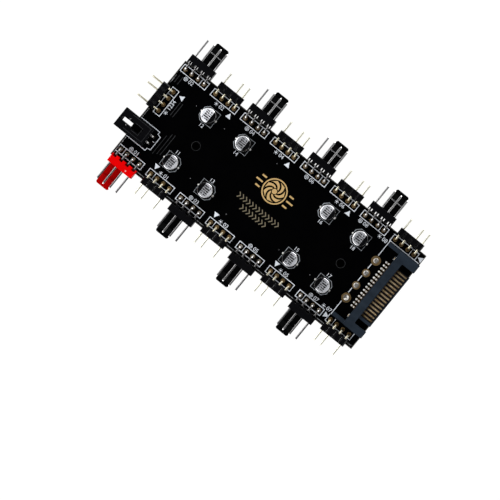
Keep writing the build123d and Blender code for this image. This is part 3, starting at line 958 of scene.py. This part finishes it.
# %% Lines round the socket and the plug
socket_x, socket_y = socket_pads[0][0], sum(y for _, y in socket_pads) / 2
socket_line = [(board_low.x + 0.45, 3.77), (socket_x + 0.47, 3.77),
               (socket_x + 0.47, 2.85), (socket_x + 1.71, 2.55)]
legend([(x, socket_y + y) for x, y in socket_line + [(x, -y) for x, y in socket_line[::-1]]])
legend([(socket_x + 0.55, socket_y), (socket_x + 1.15, socket_y)])

plug_line = spare_x - 0.5
frame_in = row_pads("led_header_8_pins")[0][0][1] - frame_deep
stops = [-frame_in + line / 2]
for index, radius in enumerate(spare_radii):
    y = spare_y + (index - 1.5) * spare_pitch
    stops += [y - radius - 0.12, y + radius + 0.12]
stops.append(frame_in - line / 2)
for start, end in zip(stops[::2], stops[1::2]):
    legend([(plug_line, start), (plug_line, end)])
last_light_x = sum(x for x, _ in row_pads("led_header_8_pins")[0]) / 4
legend([(last_light_x + frame_half + line / 2, frame_in), (board_high.x - 0.45, frame_in)])
piece("legend_lines", lines, white_ink)

# %% [markdown]
# Each capacitor has a fainter outline. Two cut corners show its plus side, and the lines break off where its
# leads pass. On the side with the black mark they are narrower.

# %% Can outlines
half_x, half_y, cut, lead_gap = lead_reach, 2.72, 1.25, 0.62
outlines = bmesh.new()
for n, middle in can_places.items():
    plus = -1 if middle.y > 0 else 1
    for up in (-1, 1):
        plus_side = [(half_x, up * lead_gap), (half_x, up * (half_y - cut)),
                     (half_x - cut, up * half_y), (0.0, up * half_y)]
        minus_side = [(0.0, up * half_y), (-half_x, up * half_y), (-half_x, up * lead_gap)]
        for path, width in ((plus_side, 0.25), (minus_side, 0.15)):
            corners = [(middle.x + plus * x, middle.y + y) for x, y in path]
            ribbon(outlines, corners, width, ink_low, ink_high)
piece("can_outlines", outlines, faint_ink)

# %% [markdown]
# A solid triangle points at pin one of each light header. It is a flat slab, turned to its heading.

# %% Pointers at pin one
pointers = bmesh.new()
to_up, to_down, to_left, to_right = 90, -90, 180, 0
pointer = [Vector((-0.75, -0.98)), Vector((0.95, 0.0)), Vector((-0.75, 0.98))]
pointer_places = ((-25.34, 13.70, to_up), (-0.74, 13.45, to_up), (24.21, 13.65, to_up),
                  (-33.13, -13.70, to_down), (-8.49, -13.70, to_down), (16.66, -13.65, to_down),
                  (51.51, 16.65, to_left), (39.38, -16.38, to_right), (-40.85, 8.65, to_left))
for x, y, heading in pointer_places:
    spin = Matrix.Rotation(math.radians(heading), 2)
    slab(pointers, [Vector((x, y)) + spin @ corner for corner in pointer], ink_low, ink_high)
piece("legend_pointers", pointers, white_ink)

# %% [markdown]
# Beside each header stands a small sign and a number. A fan header gets a rotor in a ring, a light header a
# lamp with rays, so the board can be read without words.

# %% Signs
signs = bmesh.new()


def ring_points(x, y, radius, step):
    turns = [math.radians(a) for a in range(0, 360, step)]
    return [(x + radius * math.cos(a), y + radius * math.sin(a)) for a in turns]


def fan_sign(x, y):
    ribbon(signs, ring_points(x, y, 0.62, 20), 0.16, ink_low, ink_high, closed=True)
    blade = [Vector((0.06, 0.0)), Vector((0.34, -0.13)), Vector((0.46, 0.10)), Vector((0.2, 0.2))]
    for quarter in range(4):
        spin = Matrix.Rotation(math.radians(90 * quarter), 2)
        slab(signs, [Vector((x, y)) + spin @ corner for corner in blade], ink_low, ink_high)


def lamp_sign(x, y):
    slab(signs, ring_points(x, y, 0.30, 30), ink_low, ink_high)
    for ray in range(6):
        run = Vector((math.cos(math.radians(60 * ray)), math.sin(math.radians(60 * ray))))
        ribbon(signs, [Vector((x, y)) + run * 0.42, Vector((x, y)) + run * 0.68], 0.17, ink_low, ink_high)


print("signs can be drawn")

# %% [markdown]
# Each header gets its sign and its number, odd ones on the lower edge and even ones on the upper. Their
# places along the board aren't even, because the print was fitted in between frames and cans.

# %% Numbers beside the parts
sign_y, sign_off, number_off = 14.2, -1.35, 0.75
upper_signs = (-42.25, -29.6, -16.85, -4.8, 7.83, 20.4, 30.15, 38.1)
lower_signs = (-41.65, -29.4, -16.85, -4.6, 7.83, 20.35, 32.85, 38.2)
for column in range(8):
    pair = column // 2 * 2
    lower, upper = (lower_signs[column], -sign_y - 0.2, pair + 1), (upper_signs[column], sign_y, pair + 2)
    for x, y, number in (lower, upper):
        sign = fan_sign if column % 2 == 0 else lamp_sign
        sign(x + sign_off, y)
        figures(signs, f"{number:02d}", x + number_off, y, 1.3, ink_low, ink_high)
lamp_sign(input_x + 2.35, input_y - 2.9)
figures(signs, "1234", input_x + 2.35, input_y + 0.1, 1.3, ink_low, ink_high, 90)
for n, middle in can_places.items():
    aside, above = (-0.3, 3.7) if middle.y < 0 else (-0.05, -3.85)
    figures(signs, f"{10 + n}", middle.x + aside, middle.y + above, 1.25, ink_low, ink_high)
piece("legend_signs", signs, white_ink)

# %% [markdown]
# The middle of the board carries a gold print. Here it is a plain rotor with air lines on both sides,
# over two rows of thin arrowheads in a duller gold, which stand for moving air.

# %% Gold print
emblem_x, emblem_y = 1.4, 4.1
emblem = bmesh.new()
ribbon(emblem, ring_points(emblem_x, emblem_y, 4.05, 5), 0.42, ink_low, ink_high, closed=True)
slab(emblem, ring_points(emblem_x, emblem_y, 0.85, 12), ink_low, ink_high)
blade_count = 7
for blade in range(blade_count):
    turned = 360 / blade_count * blade
    leading = [(1.15 + 0.235 * k, turned + 6.0 * k) for k in range(11)]
    trailing = [(1.15 + 0.235 * k, turned + 6.0 * k + 24 + 1.0 * k) for k in range(11)]
    outline = [(emblem_x + r * math.cos(math.radians(a)), emblem_y + r * math.sin(math.radians(a)))
               for r, a in leading + trailing[::-1]]
    slab(emblem, outline, ink_low, ink_high)
for side in (-1, 1):
    for y, start, end in ((1.9, 4.7, 6.4), (0.0, 4.9, 7.4), (-1.9, 4.7, 6.4)):
        air_line = [(emblem_x + side * x, emblem_y + y) for x in (start, end)]
        ribbon(emblem, air_line, 0.55, ink_low, ink_high)
piece("gold_print", emblem, gold_ink)

# %% [markdown]
# The arrowheads are open ribbons with one mitred corner, spaced evenly along two rows.

# %% Rows of arrowheads
arrow_pitch, arrow_half, arrow_length = 1.3, 0.95, 0.8
arrowheads = bmesh.new()
for row_y, first, last in ((-3.85, -7.1, 8.6), (-6.45, -3.9, 5.3)):
    count = round((last - first) / arrow_pitch) + 1
    for index in range(count):
        x = first + (last - first) * index / (count - 1)
        corners = [(x, row_y - arrow_half), (x + arrow_length, row_y), (x, row_y + arrow_half)]
        ribbon(arrowheads, corners, 0.3, ink_low, ink_high)
piece("arrow_print", arrowheads, dim_ink)

# %% [markdown]
# ## Copper under the lacquer
# Copper tracks lift the lacquer into low ridges, and where it thins over them it looks greyer. One line runs
# round the lower and input edges, just inside the scored break, painted pale as the highlight that the lit
# bevel throws. These two greys also paint sheen and highlights on steps and grooves of the black plastic
# further down.

# %% Lacquer over copper, and a grey for painted highlights
# One grey serves the lacquer over copper and, as painted sheen, the hole rims, the socket steps and the upper
# grooves.
lacquer_and_sheen_grey = Finish("lacquer_and_sheen_grey", Specular_IOR_Level=0.3)
grey_noise = lacquer_and_sheen_grey.noise(lacquer_and_sheen_grey.place(), 1.6, 3.0)
lacquer_and_sheen_grey.set(Base_Color=lacquer_and_sheen_grey.mix(grey_noise, rgb(0.014, 0.015, 0.016), rgb(0.042, 0.044, 0.046)))
lacquer_and_sheen_grey.set(Roughness=0.34 + grey_noise * 0.16)
lacquer_and_sheen_grey.bump(grey_noise, 0.006)
# Painted highlight: a pale grey for the lit edge line, the via bumps and the lower grooves.
glint_grey = Finish("glint_grey", Specular_IOR_Level=0.3)
glint_noise = glint_grey.noise(glint_grey.place(), 2.4, 3.0)
glint_mask = glint_grey.step(glint_noise, 0.38, 0.62)
glint_grey.set(Base_Color=glint_grey.mix(glint_mask, rgb(0.07, 0.072, 0.075), rgb(0.38, 0.385, 0.39)))
glint_grey.set(Roughness=0.40 + glint_noise * 0.2)
glint_grey.bump(glint_noise, 0.008)
print("finishes", lacquer_and_sheen_grey.material.name, glint_grey.material.name)

# %% [markdown]
# The tracks are low ribbons, and the screw holes have a rim of the same kind, whose grey paints the highlight
# on the edge of the hole. A few broad tracks run along the lower face, as they do on such a board.

# %% Tracks and hole rims
track_rise, track_sunk = 0.04, 0.01
tracks = bmesh.new()


def track(mesh, points, width, up=True):
    level = board_top - track_sunk if up else board_under - track_rise
    ribbon(mesh, points, width, level, level + track_rise + track_sunk)


for x, y0, y1 in ((-45.9, 11.1, 14.1), (-44.7, 11.1, 14.1), (-40.2, 2.0, 7.3), (-39.2, 2.0, 7.3),
                  (-36.9, -11.2, -3.8), (-35.7, -10.4, -2.4), (-34.7, -10.1, -2.0)):
    track(tracks, [(x, y0), (x, y1)], 0.2)
for y in (-12.6, -11.4, -3.2, 2.4, 11.0, 12.2):
    track(tracks, [(-40.0, y), (36.0, y)], 0.7, up=False)
hole_x = 30.0
hole_rim = [(1.40, -0.02), (1.54, -0.02), (1.51, 0.03), (1.43, 0.03), (1.40, -0.02)]
for x in (board_middle.x - hole_x, board_middle.x + hole_x):
    lathe(tracks, hole_rim, (x, board_middle.y, board_top), 40)
piece("board_tracks", tracks, lacquer_and_sheen_grey)

# %% [markdown]
# Along the input and lower edges a thin pale line, just inside the break, is painted as the highlight of the
# lit bevel. Vias, the small plated holes, make bumps whose pale grey is a painted highlight.

# %% Painted edge highlight and vias
edge_in, low_edge_in = 0.62, 0.85
edge_x, edge_y = board_low.x + edge_in, board_low.y + low_edge_in
lit_edge_marks = bmesh.new()
track(lit_edge_marks, [(edge_x, 13.4), (edge_x, 10.2)], 0.18)
track(lit_edge_marks, [(edge_x, -0.6), (edge_x, -3.9)], 0.18)
track(lit_edge_marks, [(edge_x, -12.3), (edge_x, edge_y), (board_high.x - edge_in, edge_y)], 0.24)
via = [(0.0, 0.0), (0.15, 0.0), (0.13, 0.04), (0.08, 0.06), (0.0, 0.07)]
via_places = ((-35.5, 9.6), (-23.8, 9.6), (-22.3, -9.7), (-6.1, -11.4), (14.4, -9.6), (27.2, -9.6),
              (-3.6, 11.5))
for x, y in via_places:
    lathe(lit_edge_marks, via, (x, y, board_top), 12)
piece("painted_edge_highlights", lit_edge_marks, glint_grey)

# %% [markdown]
# A moulding is pushed out of its mould by pins, and each pin leaves a shallow round mark. The fan blocks show
# one on top, a little to one side. On the red block a small dome marks where the gate, where the nylon ran in,
# was cut off; its pale colour is a painted highlight of that glossy spot.

# %% Mould marks
painted_gate_glint = moulded("painted_gate_glint", rgb(0.80, 0.30, 0.28), rgb(0.90, 0.55, 0.52), 0.5, 0.01, 0.3)
mark_out = 4.4  # from the pads
gate_spot = [(0.0, -0.01), (0.28, -0.01), (0.26, 0.03), (0.16, 0.05), (0.0, 0.05)]
pin_mark = [(0.40, -0.01), (0.52, -0.01), (0.52, 0.02), (0.40, 0.02), (0.40, -0.01)]
marks = bmesh.new()
red_marks = bmesh.new()
for name in fan_names:
    top = box_mm(f"{name}_housing")[1].z
    pads, out = row_pads(f"{name}_pins")
    middle_x = sum(x for x, _ in pads) / 4
    mark_y = pads[0][1] + out.y * mark_out
    if name == "fan_header_1":
        lathe(red_marks, gate_spot, (middle_x + 2.1, mark_y, top), 20)
    else:
        lathe(marks, pin_mark, (middle_x + out.y * 2.7, mark_y, top), 28)
piece("black_mould_marks", marks, black_moulding)
piece("red_mould_mark", red_marks, painted_gate_glint)

# %% [markdown]
# On the upper row the steep side of each locking ramp catches the light as a grey line, painted here as a
# highlight. A thin grey skin on the solid below carries it, so the highlight ends at the edges of the ramp.

# %% Painted highlight on the ramps
ramp_glint = Finish("painted_ramp_highlight", Specular_IOR_Level=0.2)
ramp_noise = ramp_glint.noise(ramp_glint.place(), 3.0, 3.0)
crest_mask = ramp_glint.step(ramp_noise, 0.35, 0.65)
ramp_glint.set(Base_Color=ramp_glint.mix(crest_mask, rgb(0.36, 0.36, 0.365), rgb(0.70, 0.70, 0.705)))
ramp_glint.set(Roughness=0.45 + ramp_noise * 0.2)
ramp_glint.bump(ramp_noise, 0.004)

# The ramp's steep side: its middle from the pads, its run and its rise, on a tab of that height
ramp_middle, ramp_run, ramp_rise, tab_rise = 9.42, 0.30, 0.45, 1.10
tab_off, tab_half, skin_half, skin_thick = 1.27, 2.36, 0.27, 0.02
slope = Vector((0, ramp_run, ramp_rise)).normalized()
skin_section = rounded_square(0.5, 2)
skins = bmesh.new()
for name in fan_names[1::2]:
    pads, out = row_pads(f"{name}_pins")
    tab_x = sum(x for x, _ in pads) / 4 + tab_off
    middle = Vector((tab_x, pads[0][1] + ramp_middle, board_top + tab_rise + ramp_rise / 2))
    ends = [middle + Vector((side * tab_half, 0, 0)) for side in (-1, 1)]
    normal = Vector((0, -slope.z, slope.y))
    sweep(skins, skin_section, [(end, slope * skin_half, normal * skin_thick) for end in ends])
print(len(skins.faces), "faces on the ramps")

# %% [markdown]
# A light bar is broken from a long strip, and a groove between two pins marks each break. The grooves are cut
# in the solid, and a thin band on the bottom of each paints the sheen of the groove in grey. The grooves of
# the lower row get the paler grey.

# %% Break-off grooves
groove_depth, groove_inset, groove_width, groove_skin = 0.4, 0.06, 0.09, 0.035
upper_grooves, lower_grooves = bmesh.new(), bmesh.new()
for name in light_names:
    low, high = box_mm(f"{name}_housing")
    pads, out = row_pads(f"{name}_pins")
    for first, second in zip(pads, pads[1:]):
        x, y = (first[0] + second[0]) / 2, (first[1] + second[1]) / 2
        ends = [(x, low.y + groove_inset), (x, high.y - groove_inset)]
        if out.x:
            ends = [(low.x + groove_inset, y), (high.x - groove_inset, y)]
        level = high.z - groove_depth
        grooves = lower_grooves if out.y < 0 else upper_grooves
        ribbon(grooves, ends, groove_width, level, level + groove_skin)
piece("upper_grooves", upper_grooves, lacquer_and_sheen_grey)
piece("lower_grooves", lower_grooves, glint_grey)
piece("painted_ramp_highlight", skins, ramp_glint)

# %% [markdown]
# The roof of the signal socket has two shallow steps round its latch slot, left by the inserts of the mould.
# Thin grey bands along them paint the sheen that the steps catch.

# %% Steps in the socket roof
roof = box_mm("signal_socket_housing")[1].z
steps = bmesh.new()
for left, right, half_width, drift in ((-49.0, -41.6, 2.65, 0.2), (-46.6, -43.8, 1.35, -0.1)):
    corners = [(left, -half_width), (right, -half_width), (right, half_width), (left, half_width)]
    ribbon(steps, [(x, socket_y + drift + y) for x, y in corners], 0.10, roof - 0.02, roof + 0.015)
piece("socket_roof_steps", steps, lacquer_and_sheen_grey)
